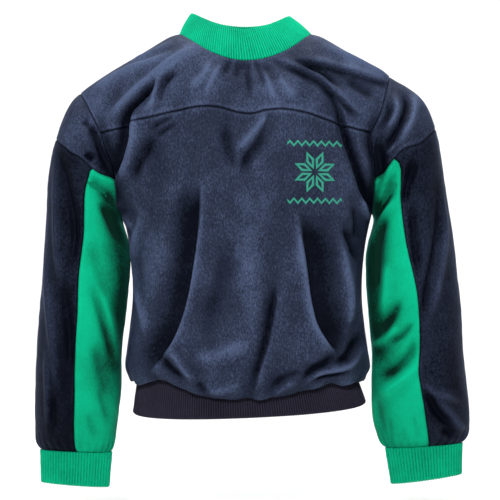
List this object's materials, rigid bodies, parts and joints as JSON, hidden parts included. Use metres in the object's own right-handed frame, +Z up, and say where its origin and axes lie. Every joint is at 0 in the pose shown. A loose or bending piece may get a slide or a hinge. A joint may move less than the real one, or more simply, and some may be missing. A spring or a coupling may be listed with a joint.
{
  "type": "crew neck sweater",
  "caption": "Velour pull-on sweater with a high rib neckband, chest yoke, two-colour sleeves, rib cuffs and a rib waistband that the body blouses over.",
  "frame": {"origin": "middle of the neck opening, level with the top of the shoulders, where the wearer holds the garment up", "axes": "+X to the viewer's right as seen from the front, -Y out of the garment's front, +Z up"},
  "size_m": [0.6892, 0.277, 0.7482],
  "materials": {
    "navy_velour": "soft cotton velour, short nap",
    "green_velour": "soft cotton velour, short nap",
    "green_rib": "matt rib knit",
    "navy_rib": "matt rib knit"
  },
  "bodies": {
    "root": {"collar": "green_rib", "front_yoke": "navy_velour", "front_panel": "navy_velour", "back_panel": "navy_velour", "sleeve_cap_left": "navy_velour", "sleeve_outer_left": "navy_velour", "sleeve_under_left": "green_velour", "cuff_left": "green_rib", "sleeve_cap_right": "navy_velour", "sleeve_outer_right": "navy_velour", "sleeve_under_right": "green_velour", "cuff_right": "green_rib", "waistband": "navy_rib"}
  },
  "joints": []
}
